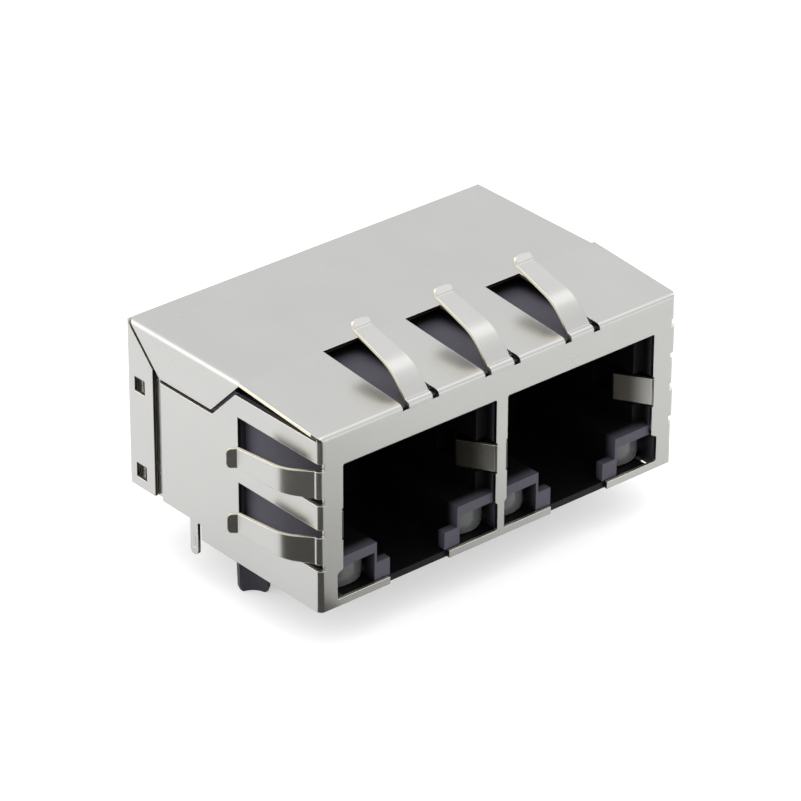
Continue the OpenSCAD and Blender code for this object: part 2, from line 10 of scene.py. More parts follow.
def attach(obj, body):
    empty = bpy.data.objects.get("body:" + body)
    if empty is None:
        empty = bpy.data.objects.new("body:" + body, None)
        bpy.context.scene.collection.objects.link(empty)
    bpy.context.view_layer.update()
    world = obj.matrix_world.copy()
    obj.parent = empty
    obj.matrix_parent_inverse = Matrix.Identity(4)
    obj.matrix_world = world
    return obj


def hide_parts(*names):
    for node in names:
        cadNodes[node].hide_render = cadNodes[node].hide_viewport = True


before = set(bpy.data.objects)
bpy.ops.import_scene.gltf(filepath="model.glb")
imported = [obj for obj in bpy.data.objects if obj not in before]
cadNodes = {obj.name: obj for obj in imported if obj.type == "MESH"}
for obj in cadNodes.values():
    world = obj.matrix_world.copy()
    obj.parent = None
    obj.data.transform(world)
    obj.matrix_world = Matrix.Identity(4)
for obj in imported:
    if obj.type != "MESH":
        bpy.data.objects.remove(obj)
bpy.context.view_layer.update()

mm = 0.001
mergeWithin = 0.0005 * mm  # corners closer than this are one

# Small helpers for shader trees.


def addNode(tree, kind, **settings):
    made = tree.nodes.new(kind)
    for key, value in settings.items():
        setattr(made, key, value)
    return made


def feed(tree, slot, value):
    # a socket is linked to the slot, and a plain value is set on it
    if isinstance(value, bpy.types.NodeSocket):
        tree.links.new(value, slot)
    else:
        slot.default_value = value


def mathNode(tree, operation, a, b=None, clamp=False):
    # a and b are sockets or plain numbers; the result socket comes back
    made = addNode(tree, "ShaderNodeMath", operation=operation, use_clamp=clamp)
    feed(tree, made.inputs[0], a)
    if b is not None:
        feed(tree, made.inputs[1], b)
    return made.outputs[0]


def mixColour(tree, factor, a, b):
    # the mix node's colours are its inputs 6 and 7 and its output 2
    made = addNode(tree, "ShaderNodeMix", data_type="RGBA")
    for slot, value in ((0, factor), (6, a), (7, b)):
        feed(tree, made.inputs[slot], value)
    return made.outputs[2]


def spread(tree, value, low, high):
    # maps 0..1 to low..high
    made = addNode(tree, "ShaderNodeMapRange")
    for label, given in (("Value", value), ("To Min", low), ("To Max", high)):
        feed(tree, made.inputs[label], given)
    return made.outputs["Result"]


def smoothRange(tree, value, low, high, start=0.0, end=1.0):
    # start up to low, end from high on, and smooth between them
    made = addNode(tree, "ShaderNodeMapRange", interpolation_type="SMOOTHSTEP")
    given = {"Value": value, "From Min": low, "From Max": high, "To Min": start, "To Max": end}
    for label, amount in given.items():
        feed(tree, made.inputs[label], amount)
    return made.outputs["Result"]


def objectPlace(tree):
    return addNode(tree, "ShaderNodeTexCoord").outputs["Object"]


def splitPlace(tree, place):
    parts = addNode(tree, "ShaderNodeSeparateXYZ")
    tree.links.new(place, parts.inputs[0])
    return parts.outputs


def stretchPlace(tree, place, stretch):
    made = addNode(tree, "ShaderNodeVectorMath", operation="MULTIPLY")
    feed(tree, made.inputs[0], place)
    feed(tree, made.inputs[1], stretch)
    return made.outputs[0]


def attribute(tree, name):
    return addNode(tree, "ShaderNodeAttribute", attribute_name=name).outputs["Fac"]


def toned(colour, factor):
    return tuple(min(1, c * factor) for c in colour[:3]) + (1,)


def newGroup(name, inputs, outputs):
    tree = bpy.data.node_groups.new(name, "ShaderNodeTree")
    for label, kind, value in inputs:
        socket = tree.interface.new_socket(name=label, in_out="INPUT", socket_type=kind)
        socket.default_value = value
    for label, kind in outputs:
        tree.interface.new_socket(name=label, in_out="OUTPUT", socket_type=kind)
    return tree, tree.nodes.new("NodeGroupInput"), tree.nodes.new("NodeGroupOutput")


def useGroup(tree, group, **values):
    made = addNode(tree, "ShaderNodeGroup", node_tree=group)
    for label, value in values.items():
        feed(tree, made.inputs[label.replace("_", " ")], value)
    return made.outputs


print("stage: shared effects")


def buildEdgeWear():
    # compares a rounded normal with the true one: 1 on outside edges, 0 on flats
    tree, source, sink = newGroup(
        "edge wear",
        [("Radius", "NodeSocketFloat", 0.05 * mm), ("Strength", "NodeSocketFloat", 6.0)],
        [("Mask", "NodeSocketFloat"), ("Rounded", "NodeSocketVector")],
    )
    bevel = addNode(tree, "ShaderNodeBevel", samples=6)
    truth = addNode(tree, "ShaderNodeNewGeometry")
    dot = addNode(tree, "ShaderNodeVectorMath", operation="DOT_PRODUCT")
    tree.links.new(source.outputs["Radius"], bevel.inputs["Radius"])
    tree.links.new(bevel.outputs["Normal"], dot.inputs[0])
    tree.links.new(truth.outputs["Normal"], dot.inputs[1])
    away = mathNode(tree, "SUBTRACT", 1.0, dot.outputs["Value"])
    mask = mathNode(tree, "MULTIPLY", away, source.outputs["Strength"], clamp=True)
    tree.links.new(mask, sink.inputs["Mask"])
    tree.links.new(bevel.outputs["Normal"], sink.inputs["Rounded"])
    return tree


def buildGrain():
    # two sizes of noise on object coordinates, each about 0..1, and their sum as a height
    tree, source, sink = newGroup(
        "grain",
        [
            ("Fine", "NodeSocketFloat", 9000.0),
            ("Coarse", "NodeSocketFloat", 400.0),
            ("Stretch", "NodeSocketVector", (1.0, 1.0, 1.0)),
        ],
        [("Fine", "NodeSocketFloat"), ("Coarse", "NodeSocketFloat"), ("Height", "NodeSocketFloat")],
    )
    place = stretchPlace(tree, objectPlace(tree), source.outputs["Stretch"])
    made = {}
    for label, detail in (("Fine", 3.0), ("Coarse", 4.0)):
        noise = addNode(tree, "ShaderNodeTexNoise")
        noise.inputs["Detail"].default_value = detail
        tree.links.new(place, noise.inputs["Vector"])
        tree.links.new(source.outputs[label], noise.inputs["Scale"])
        tree.links.new(noise.outputs["Fac"], sink.inputs[label])
        made[label] = noise.outputs["Fac"]
    tree.links.new(mathNode(tree, "ADD", made["Fine"], made["Coarse"]), sink.inputs["Height"])
    return tree


def buildScuffs():
    # thin marks along the borders of a stretched cell pattern, only where a noise is high
    tree, source, sink = newGroup(
        "scuffs",
        [
            ("Scale", "NodeSocketFloat", 260.0),
            ("Amount", "NodeSocketFloat", 0.5),
            ("Width", "NodeSocketFloat", 0.012),
            ("Stretch", "NodeSocketVector", (1.0, 5.0, 5.0)),
        ],
        [("Mask", "NodeSocketFloat")],
    )
    place = objectPlace(tree)
    cells = addNode(tree, "ShaderNodeTexVoronoi", feature="DISTANCE_TO_EDGE")
    patch = addNode(tree, "ShaderNodeTexNoise")
    tree.links.new(stretchPlace(tree, place, source.outputs["Stretch"]), cells.inputs["Vector"])
    tree.links.new(place, patch.inputs["Vector"])
    for texture in (cells, patch):
        tree.links.new(source.outputs["Scale"], texture.inputs["Scale"])
    line = mathNode(tree, "LESS_THAN", cells.outputs["Distance"], source.outputs["Width"])
    limit = mathNode(tree, "SUBTRACT", 1.0, source.outputs["Amount"])
    where = mathNode(tree, "GREATER_THAN", patch.outputs["Fac"], limit)
    tree.links.new(mathNode(tree, "MULTIPLY", line, where), sink.inputs["Mask"])
    return tree


def buildDeepShade():
    # mask for painted shade: 0 in the open, 1 deep inside a hollow, from how much of the surroundings a point
    # can see
    tree, source, sink = newGroup(
        "deep shade",
        [
            ("Reach", "NodeSocketFloat", 6.0 * mm),
            ("Low", "NodeSocketFloat", 0.25),
            ("High", "NodeSocketFloat", 0.75),
        ],
        [("Mask", "NodeSocketFloat")],
    )
    seen = addNode(tree, "ShaderNodeAmbientOcclusion", samples=8)
    tree.links.new(source.outputs["Reach"], seen.inputs["Distance"])
    low, high = source.outputs["Low"], source.outputs["High"]
    tree.links.new(smoothRange(tree, seen.outputs["AO"], low, high, 1.0, 0.0), sink.inputs["Mask"])
    return tree


def buildPortShade():
    # mask for painted shade: 0 on the outside and on the plug face, 1 a little way into a port, from the
    # place on the part
    tree, source, sink = newGroup(
        "port shade",
        [
            ("Start", "NodeSocketFloat", -9.75 * mm),
            ("Full", "NodeSocketFloat", -8.8 * mm),
            ("Sooner", "NodeSocketFloat", 0.6 * mm),
            ("Ledge", "NodeSocketFloat", 3.55 * mm),
            ("Floor", "NodeSocketFloat", 0.56 * mm),
            ("Floor Share", "NodeSocketFloat", 1.8),
            ("Half Width", "NodeSocketFloat", 15.0 * mm),
            ("Top", "NodeSocketFloat", 12.4 * mm),
            ("Rear", "NodeSocketFloat", 7.0 * mm),
        ],
        [("Mask", "NodeSocketFloat")],
    )
    given = source.outputs
    x, y, z = splitPlace(tree, objectPlace(tree))
    # above the ledges and on the floor the painted dark starts sooner
    high = mathNode(tree, "GREATER_THAN", z, given["Ledge"])
    low = mathNode(tree, "MULTIPLY", mathNode(tree, "LESS_THAN", z, given["Floor"]), given["Floor Share"])
    sooner = mathNode(tree, "MULTIPLY", mathNode(tree, "ADD", high, low), given["Sooner"])
    dark = smoothRange(tree, mathNode(tree, "ADD", y, sooner), given["Start"], given["Full"])
    limits = (
        mathNode(tree, "LESS_THAN", mathNode(tree, "ABSOLUTE", x), given["Half Width"]),
        mathNode(tree, "LESS_THAN", y, given["Rear"]),
        mathNode(tree, "LESS_THAN", z, given["Top"]),
        mathNode(tree, "GREATER_THAN", z, 0.0),
    )
    for limit in limits:
        dark = mathNode(tree, "MULTIPLY", dark, limit)
    tree.links.new(dark, sink.inputs["Mask"])
    return tree


edgeWear = buildEdgeWear()
grain = buildGrain()
scuffs = buildScuffs()
deepShade = buildDeepShade()
portShade = buildPortShade()


def newMaterial(name):
    material = bpy.data.materials.new(name)
    material.use_nodes = True
    tree = material.node_tree
    return material, tree, tree.nodes["Principled BSDF"]


def rough(tree, shader, value):
    tree.links.new(value, shader.inputs["Roughness"])


def bumpTo(tree, shader, height, strength, distance, normal=None):
    bump = addNode(tree, "ShaderNodeBump")
    bump.inputs["Strength"].default_value = strength
    bump.inputs["Distance"].default_value = distance
    tree.links.new(height, bump.inputs["Height"])
    if normal is not None:
        tree.links.new(normal, bump.inputs["Normal"])
    tree.links.new(bump.outputs["Normal"], shader.inputs["Normal"])


print("stage: finishes")

platedSheet = {
    "light": (0.475, 0.473, 0.462, 1),
    "dull": (0.437, 0.435, 0.424, 1),
    "within": (0.085, 0.078, 0.066, 1),  # painted shade on the springs inside the ports
    "under": (0.90, 0.86, 0.74, 1),  # painted light: the fingers' undersides, bright cream and not metallic so the roof beside them reflects a lit patch
    "cut": (0.72, 0.68, 0.54, 1),  # painted light on a sheared edge that faces up
    "edgeShade": (0.045, 0.042, 0.027, 1),  # painted shade on one that faces sideways or down
    "rim": (0.78, 0.77, 0.72, 1),
    "rimShare": 0.7,
    "scuffColour": (0.32, 0.31, 0.29, 1),
    "scuffShare": 0.14,
    "scuffScale": 210.0,
    "scuffAmount": 0.36,
    "roughLow": 0.20,
    "roughHigh": 0.30,
    "markRough": 0.12,  # what a scuff or a sheared edge adds
    "edgeRadius": 0.08 * mm,
    "edgeStrength": 3.0,
    "fine": 14000.0,
    "coarse": 260.0,
    "stretch": (1.0, 0.6, 1.0),
    "darkStart": -10.1 * mm,
    "darkFull": -8.6 * mm,
    "bump": 0.05,
    "bumpDepth": 0.01 * mm,
}


def buildSheetFinish(look):
    material, tree, shader = newMaterial("plated sheet")
    noise = useGroup(tree, grain, Fine=look["fine"], Coarse=look["coarse"], Stretch=look["stretch"])
    edge = useGroup(tree, edgeWear, Radius=look["edgeRadius"], Strength=look["edgeStrength"])
    mark = useGroup(tree, scuffs, Scale=look["scuffScale"], Amount=look["scuffAmount"])
    inside = useGroup(tree, portShade, Start=look["darkStart"], Full=look["darkFull"], Sooner=0.0)
    sheared, lit, under = (attribute(tree, name) for name in ("shearedEdge", "shearedUp", "underSide"))
    base = mixColour(tree, noise["Coarse"], look["dull"], look["light"])
    scuffed = mathNode(tree, "MULTIPLY", mark["Mask"], look["scuffShare"])
    base = mixColour(tree, scuffed, base, look["scuffColour"])
    # painted light and shade: sheared edges get the pale colour where they face up and the dark one where
    # they face sideways or down
    base = mixColour(tree, sheared, base, mixColour(tree, lit, look["edgeShade"], look["cut"]))
    # edge wear and painted highlight: convex edges are lightened toward the pale rim colour
    rubbed = mathNode(tree, "MULTIPLY", edge["Mask"], look["rimShare"])
    base = mixColour(tree, rubbed, base, look["rim"])
    # painted shade: the springs a little way into the ports are coloured near black
    base = mixColour(tree, inside["Mask"], base, look["within"])
    # painted light: undersides turn bright cream and lose their metal, so the roof reflects a lit patch
    # beside each finger
    base = mixColour(tree, under, base, look["under"])
    tree.links.new(base, shader.inputs["Base Color"])
    tree.links.new(mathNode(tree, "SUBTRACT", 1.0, under), shader.inputs["Metallic"])
    dull = spread(tree, noise["Coarse"], look["roughLow"], look["roughHigh"])
    for mask in (mark["Mask"], sheared):
        dull = mathNode(tree, "ADD", dull, mathNode(tree, "MULTIPLY", mask, look["markRough"]))
    rough(tree, shader, dull)
    bumpTo(tree, shader, noise["Height"], look["bump"], look["bumpDepth"], edge["Rounded"])
    return material


anyPlastic = {
    "coarse": 500.0,
    "edgeRadius": 0.06 * mm,
    "edgeStrength": 3.0,
    "edgeShare": 0.4,
    "edgeTone": 1.7,
    "hollowReach": 7.0 * mm,
    "hollowLow": 0.2,
    "hollowHigh": 0.62,
    "hollowTone": 0.12,
    "paintedPortShade": (0.0012, 0.001, 0.0014, 1),
    "specular": 0.22,
    "bump": 0.25,
}

plastics = {
    "moulding": {
        "name": "black moulding",
        "dark": (0.054, 0.050, 0.066, 1),
        "pale": (0.072, 0.067, 0.088, 1),
        "rough": (0.42, 0.60),
        "fine": 7000.0,
        "bumpDepth": 0.012 * mm,
    },
    "carrier": {
        "name": "carrier moulding",
        "dark": (0.024, 0.022, 0.028, 1),
        "pale": (0.036, 0.033, 0.041, 1),
        "rough": (0.45, 0.62),
        "fine": 7000.0,
        "bumpDepth": 0.01 * mm,
    },
    "case": {
        "name": "coil case",
        "dark": (0.012, 0.012, 0.014, 1),
        "pale": (0.022, 0.022, 0.025, 1),
        "rough": (0.35, 0.55),
        "fine": 3500.0,
        "bumpDepth": 0.02 * mm,
    },
}


def buildPlasticFinish(own, look):
    material, tree, shader = newMaterial(own["name"])
    noise = useGroup(tree, grain, Fine=own["fine"], Coarse=look["coarse"])
    edge = useGroup(tree, edgeWear, Radius=look["edgeRadius"], Strength=look["edgeStrength"])
    hollow = useGroup(
        tree, deepShade, Reach=look["hollowReach"], Low=look["hollowLow"], High=look["hollowHigh"]
    )
    inside = useGroup(tree, portShade)
    shader.inputs["Specular IOR Level"].default_value = look["specular"]
    base = mixColour(tree, noise["Coarse"], own["dark"], own["pale"])
    rubbed = mathNode(tree, "MULTIPLY", edge["Mask"], look["edgeShare"])
    base = mixColour(tree, rubbed, base, toned(own["pale"], look["edgeTone"]))
    # painted shade: hollows darken toward the dark tone
    base = mixColour(tree, hollow["Mask"], base, toned(own["dark"], look["hollowTone"]))
    # painted shade: a little way into each port the plastic is coloured near black
    base = mixColour(tree, inside["Mask"], base, look["paintedPortShade"])
    tree.links.new(base, shader.inputs["Base Color"])
    rough(tree, shader, spread(tree, noise["Fine"], *own["rough"]))
    bumpTo(tree, shader, noise["Fine"], look["bump"], own["bumpDepth"], edge["Rounded"])
    return material


anyWire = {
    "fine": 16000.0,
    "coarse": 900.0,
    "edgeRadius": 0.03 * mm,
    "edgeStrength": 4.0,
    "edgeShare": 0.4,
    "edgeTone": 1.12,
    "bump": 0.06,
    "bumpDepth": 0.008 * mm,
}

wires = {
    "gilt": {
        "name": "gilt spring",
        "dull": (0.80, 0.58, 0.22, 1),
        "light": (0.92, 0.70, 0.32, 1),
        "rough": (0.16, 0.28),
    },
    "tinned": {
        "name": "tinned wire",
        "dull": (0.66, 0.65, 0.62, 1),
        "light": (0.78, 0.77, 0.74, 1),
        "rough": (0.22, 0.38),
    },
}


def buildWireFinish(own, look):
    material, tree, shader = newMaterial(own["name"])
    noise = useGroup(tree, grain, Fine=look["fine"], Coarse=look["coarse"])
    edge = useGroup(tree, edgeWear, Radius=look["edgeRadius"], Strength=look["edgeStrength"])
    base = mixColour(tree, noise["Coarse"], own["dull"], own["light"])
    rubbed = mathNode(tree, "MULTIPLY", edge["Mask"], look["edgeShare"])
    base = mixColour(tree, rubbed, base, toned(own["light"], look["edgeTone"]))
    tree.links.new(base, shader.inputs["Base Color"])
    shader.inputs["Metallic"].default_value = 1.0
    rough(tree, shader, spread(tree, noise["Coarse"], *own["rough"]))
    bumpTo(tree, shader, noise["Fine"], look["bump"], look["bumpDepth"], edge["Rounded"])
    return material


solderMask = {
    "deep": (0.012, 0.085, 0.035, 1),
    "thin": (0.02, 0.13, 0.055, 1),
    "bare": (0.35, 0.33, 0.17, 1),
    "fine": 8000.0,
    "coarse": 700.0,
    "weave": 420.0,
    "edgeRadius": 0.03 * mm,
    "edgeStrength": 4.0,
    "rough": (0.25, 0.4),
    "bump": 0.1,
    "bumpDepth": 0.01 * mm,
}


def buildBoardFinish(look):
    # woven glass shows as a faint plaid under the green mask
    material, tree, shader = newMaterial("solder mask")
    noise = useGroup(tree, grain, Fine=look["fine"], Coarse=look["coarse"])
    edge = useGroup(tree, edgeWear, Radius=look["edgeRadius"], Strength=look["edgeStrength"])
    place = objectPlace(tree)
    waves = []
    for direction in ("X", "Y"):
        wave = addNode(tree, "ShaderNodeTexWave", bands_direction=direction)
        wave.inputs["Scale"].default_value = look["weave"]
        tree.links.new(place, wave.inputs["Vector"])
        waves.append(wave.outputs["Fac"])
    weave = mathNode(tree, "MULTIPLY", mathNode(tree, "ADD", *waves), 0.5)
    base = mixColour(tree, weave, look["deep"], look["thin"])
    base = mixColour(tree, edge["Mask"], base, look["bare"])
    tree.links.new(base, shader.inputs["Base Color"])
    rough(tree, shader, spread(tree, noise["Coarse"], *look["rough"]))
    bumpTo(tree, shader, weave, look["bump"], look["bumpDepth"])
    return material


clearResin = {
    "deep": (0.13, 0.135, 0.135, 1),
    "thin": (0.19, 0.198, 0.198, 1),
    "rim": (0.85, 0.88, 0.87, 1),
    "fine": 5000.0,
    "coarse": 1200.0,
    "edgeRadius": 0.12 * mm,
    "edgeStrength": 2.5,
    "through": 0.45,
    "bending": 1.52,
    "rough": (0.10, 0.22),
    "bump": 0.08,
    "bumpDepth": 0.02 * mm,
}


def buildLampFinish(look):
    material, tree, shader = newMaterial("clear resin")
    noise = useGroup(tree, grain, Fine=look["fine"], Coarse=look["coarse"])
    edge = useGroup(tree, edgeWear, Radius=look["edgeRadius"], Strength=look["edgeStrength"])
    base = mixColour(tree, noise["Coarse"], look["deep"], look["thin"])
    base = mixColour(tree, edge["Mask"], base, look["rim"])
    tree.links.new(base, shader.inputs["Base Color"])
    shader.inputs["Transmission Weight"].default_value = look["through"]
    shader.inputs["IOR"].default_value = look["bending"]
    rough(tree, shader, spread(tree, noise["Coarse"], *look["rough"]))
    bumpTo(tree, shader, noise["Coarse"], look["bump"], look["bumpDepth"], edge["Rounded"])
    return material


finishes = {
    "sheet": buildSheetFinish(platedSheet),
    "board": buildBoardFinish(solderMask),
    "lamp": buildLampFinish(clearResin),
}
finishes.update({label: buildPlasticFinish(own, anyPlastic) for label, own in plastics.items()})
finishes.update({label: buildWireFinish(own, anyWire) for label, own in wires.items()})

# the first start that fits a node's name gives its finish
nodeFinish = (
    ("shield", "sheet"),
    ("housing", "moulding"),
    ("contact_carrier", "carrier"),
    ("circuit_board", "board"),
    ("coil_module", "case"),
    ("contact_", "gilt"),
    ("signal_pin", "tinned"),
    ("lamp_lead", "tinned"),
    ("lamp_", "lamp"),
)
for nodeName, piece in cadNodes.items():
    finish = next(f for start, f in nodeFinish if nodeName.startswith(start))
    piece.data.materials.clear()
    piece.data.materials.append(finishes[finish])

# Small helpers for meshes.


def gridFaces(rows, columns, start):
    # quads of a grid that closes round its columns, and a cap at each end
    r, c = np.meshgrid(np.arange(rows - 1), np.arange(columns), indexing="ij")
    a = start + r * columns + c
    b = start + r * columns + (c + 1) % columns
    quads = np.stack([a, b, b + columns, a + columns], axis=2).reshape(-1, 4).tolist()
    first = [start + k for k in range(columns)][::-1]
    last = [start + (rows - 1) * columns + k for k in range(columns)]
    return quads + [first, last]


def meshPiece(name, grids, material, smooth=40):
    # one object of closed grids, smooth where faces meet under the given angle
    points, faces, start = [], [], 0
    for grid in grids:
        rows, columns = grid.shape[:2]
        points.append(grid.reshape(-1, 3))
        faces += gridFaces(rows, columns, start)
        start += rows * columns
    mesh = bpy.data.meshes.new(name)
    mesh.from_pydata(np.concatenate(points).tolist(), [], faces)
    work = bmesh.new()
    work.from_mesh(mesh)
    bmesh.ops.remove_doubles(work, verts=work.verts, dist=mergeWithin)
    bmesh.ops.recalc_face_normals(work, faces=work.faces)
    work.to_mesh(mesh)
    work.free()
    mesh.materials.append(material)
    mesh.shade_smooth()
    mesh.set_sharp_from_angle(angle=math.radians(smooth))
    made = bpy.data.objects.new(name, mesh)
    bpy.context.collection.objects.link(made)
    return made


def faceValues(mesh, label, values):
    made = mesh.attributes.new(label, "FLOAT", "FACE")
    made.data.foreach_set("value", np.asarray(values, dtype=np.float32))


def litFromAbove(up):
    # how bright a sheared edge is painted, as light from above, by its normal's height: 0 at 0.2, 1 at 0.7
    return up * 2 - 0.4


print("stage: shield")

shieldSkin = {
    "sheet": 0.25 * mm,
    "sharp": 40,  # edges over this angle stay crisp
    "blend": 26,  # faces within this angle of each other shade as one curve
    "turnSteps": 400,  # normals that agree to one part in this lie in one plane
    "layer": 0.004 * mm,
    "fingersAbove": 13.5 * mm,
    "castFrom": 0.01 * mm,
    "deeper": 1.35,  # a sheared edge has more metal behind it than this many sheets
    "narrower": 1.06,  # and is no wider than this many
}


def planeWidths(corners, normals, areas, edgeOf, edgeLengths, look):
    # faces in one plane share a number; its width is twice its area over the length of its outline
    spot = (corners[:, 0] * normals).sum(axis=1)
    key = np.round(np.column_stack([normals * look["turnSteps"], spot / look["layer"]])).astype(np.int64)
    plane = np.unique(key, axis=0, return_inverse=True)[1].reshape(-1)
    size = np.bincount(plane, weights=areas)
    pairs = np.column_stack([np.repeat(plane, 3), edgeOf.reshape(-1)])
    pairs, times = np.unique(pairs, axis=0, return_counts=True)
    outline = pairs[times == 1]
    around = np.bincount(outline[:, 0], weights=edgeLengths[outline[:, 1]], minlength=len(size))
    return plane, 2 * size / np.maximum(around, 1e-9)


def blendNormals(mesh, look):
    # corner normal = sum over the planes at the vertex within the blend angle of normal * width ** 2
    count = len(mesh.polygons)
    points = np.empty(len(mesh.vertices) * 3)
    mesh.vertices.foreach_get("co", points)
    points = points.reshape(-1, 3)
    edges = np.empty(len(mesh.edges) * 2, dtype=np.int64)
    mesh.edges.foreach_get("vertices", edges)
    edges = edges.reshape(-1, 2)
    lengths = np.linalg.norm(points[edges[:, 0]] - points[edges[:, 1]], axis=1)
    vertexOf = np.empty(count * 3, dtype=np.int64)
    edgeOf = np.empty(count * 3, dtype=np.int64)
    mesh.loops.foreach_get("vertex_index", vertexOf)
    mesh.loops.foreach_get("edge_index", edgeOf)
    triangles = points[vertexOf.reshape(-1, 3)]
    cross = np.cross(triangles[:, 1] - triangles[:, 0], triangles[:, 2] - triangles[:, 0])
    twice = np.maximum(np.linalg.norm(cross, axis=1, keepdims=True), 1e-20)
    normals = cross / twice
    areas = twice[:, 0] / 2
    plane, widths = planeWidths(triangles, normals, areas, edgeOf.reshape(-1, 3), lengths, look)
    faceOf = np.repeat(np.arange(count), 3)
    pairs = np.column_stack([vertexOf, plane[faceOf]])
    met, firstCorner = np.unique(pairs, axis=0, return_index=True)
    start = np.searchsorted(met[:, 0], vertexOf, side="left")
    many = np.searchsorted(met[:, 0], vertexOf, side="right") - start
    corner = np.repeat(np.arange(len(vertexOf)), many)
    other = np.arange(many.sum()) - np.repeat(np.cumsum(many) - many, many) + np.repeat(start, many)
    there = normals[faceOf[firstCorner[other]]]
    near = (normals[faceOf[corner]] * there).sum(axis=1) > math.cos(math.radians(look["blend"]))
    weight = near * widths[met[other, 1]] ** 2
    blended = np.column_stack([np.bincount(corner, weights=weight * there[:, k]) for k in range(3)])
    blended /= np.linalg.norm(blended, axis=1, keepdims=True)
    mesh.normals_split_custom_set(blended.tolist())


springFinger = {
    "halfBody": 16.1 * mm,
    "plugFace": -10.2 * mm,
    "roofFront": 13.4 * mm,  # height of the front fold
    "roofMiddles": (-7.3 * mm, 0.0, 7.3 * mm),
    "sideMiddles": (4.8 * mm, 9.85 * mm),
    "roofWithin": 15.0 * mm,
    "roofRise": 0.7 / 8.5,  # of the roof's slope behind the front fold
    "slopeEnd": 8.5 * mm,
    "slotHalf": 1.599 * mm,
    "rootHalf": 1.03 * mm,
    "tipHalf": 0.68 * mm,
    "taperEnd": 8.0 * mm,
    "foldOut": 0.37 * mm,
    "roofStart": -0.40 * mm,  # where the new sheet takes over on the plug face
    "sideStart": -0.52 * mm,
    "roofSlotEnd": 8.3 * mm,
    "sideSlotEnd": 8.6 * mm,
    "lipDepth": 0.9 * mm,  # behind the plug face
    "lipTop": -0.18 * mm,
    "clear": 0.02 * mm,
    "slack": 0.005 * mm,
    "cutWithin": 0.0001 * mm,
    "reliefAcross": 1.315 * mm,  # the round slot ends in the front fold
    "reliefRadius": 0.285 * mm,
    "reliefLean": 0.3,
    "foldTop": -0.27 * mm,
    "foldRadius": 0.245,
    "halfSheet": 0.125 * mm,
    "plateHeight": 0.12 * mm,
    "plateGap": 0.002 * mm,
    "tipRound": 0.34 * mm,
    "step": 0.04 * mm,
    "smooth": 30,
    "underBelow": -0.25,
    # each move is a straight length in mm, a turn in degrees and the turn's radius in mm
    "roofMoves": ((0.03, 52, 0.2), (0.7, -36, 4.2), (2.95, 50, 0.3), (0.5, 0, 1)),
    "sideMoves": ((0.03, 38, 0.2), (1.25, -34, 3.0), (3.3, 50, 0.3), (0.65, 0, 1)),
}


def fingerCuts(look):
    # the planes round the plain fingers: a point on each, and its normal
    cuts = [((0, 0, look["roofFront"] + look["roofStart"]), (0, 0, 1))]
    cuts.append(((0, look["plugFace"] + look["lipDepth"], 0), (0, 1, 0)))
    for side in (-1, 1):
        cuts.append(((side * (look["halfBody"] + look["sideStart"]), 0, 0), (1, 0, 0)))
        cuts += [((x + side * look["slotHalf"], 0, 0), (1, 0, 0)) for x in look["roofMiddles"]]
        cuts += [((0, 0, z + side * look["slotHalf"]), (0, 0, 1)) for z in look["sideMiddles"]]
    return cuts


def onRoofFinger(spot, normal, look):
    # whether a face belongs to a roof finger or the lip at its root, and not to a round slot end
    along = spot.y - look["plugFace"]
    height = spot.z - look["roofFront"]
    across = min(abs(spot.x - x) for x in look["roofMiddles"])
    if across >= look["slotHalf"] or height <= look["roofStart"]:
        return False
    roofTop = look["roofRise"] * min(along, look["slopeEnd"])
    if across < look["rootHalf"] + look["slack"]:
        if along < look["roofSlotEnd"] or height > roofTop + look["clear"]:
            return True
    fromMiddle = math.hypot(across - look["reliefAcross"], abs(along + height) / math.sqrt(2))
    onRound = abs(fromMiddle - look["reliefRadius"]) < look["clear"]
    onRound = onRound and abs(normal.z - normal.y) < look["reliefLean"]
    return along < look["lipDepth"] and height < look["lipTop"] and not onRound


def onSideFinger(spot, look):
    # whether a face belongs to a side finger or the lip at its root
    along = spot.y - look["plugFace"]
    outward = abs(spot.x) - look["halfBody"]
    across = min(abs(spot.z - z) for z in look["sideMiddles"])
    if across >= look["slotHalf"] or outward <= look["sideStart"]:
        return False
    if along < look["lipDepth"]:
        return True
    past = along < look["sideSlotEnd"] or outward > look["clear"]
    return across < look["rootHalf"] + look["slack"] and past


def clearFingers(work, look):
    # takes the plain fingers and the thin lips at their roots out of the copied sheet
    for spot, normal in fingerCuts(look):
        everything = work.verts[:] + work.edges[:] + work.faces[:]
        within = look["cutWithin"]
        bmesh.ops.bisect_plane(work, geom=everything, dist=within, plane_co=spot, plane_no=normal)
    gone = []
    for face in work.faces:
        spot = face.calc_center_median()
        if onRoofFinger(spot, face.normal, look) or onSideFinger(spot, look):
            gone.append(face)
    bmesh.ops.delete(work, geom=gone, context="FACES")


def fingerLine(start, moves, look):
    # heading a(s) is straight between bends and turns at 1 / radius inside them
    # point(s) = start + integral of (cos a, sin a)
    lengths, headings = [0.0], [90.0]
    firstMove = ((look["foldTop"] - start) / mm, -90, look["foldRadius"])
    for length, turn, radius in (firstMove,) + moves:
        straight = lengths[-1] + length * mm
        lengths += [straight, straight + abs(math.radians(turn)) * radius * mm]
        headings += [headings[-1], headings[-1] + turn]
    along = np.linspace(0, lengths[-1], int(lengths[-1] / look["step"]))
    heading = np.radians(np.interp(along, lengths, headings))
    step = np.column_stack([np.cos(heading), np.sin(heading)])
    moved = (step[1:] + step[:-1]) / 2 * np.diff(along)[:, None]
    points = np.concatenate([[[0.0, 0.0]], np.cumsum(moved, axis=0)])
    return points + np.array([look["halfSheet"], start]), heading, lengths[-1] - along


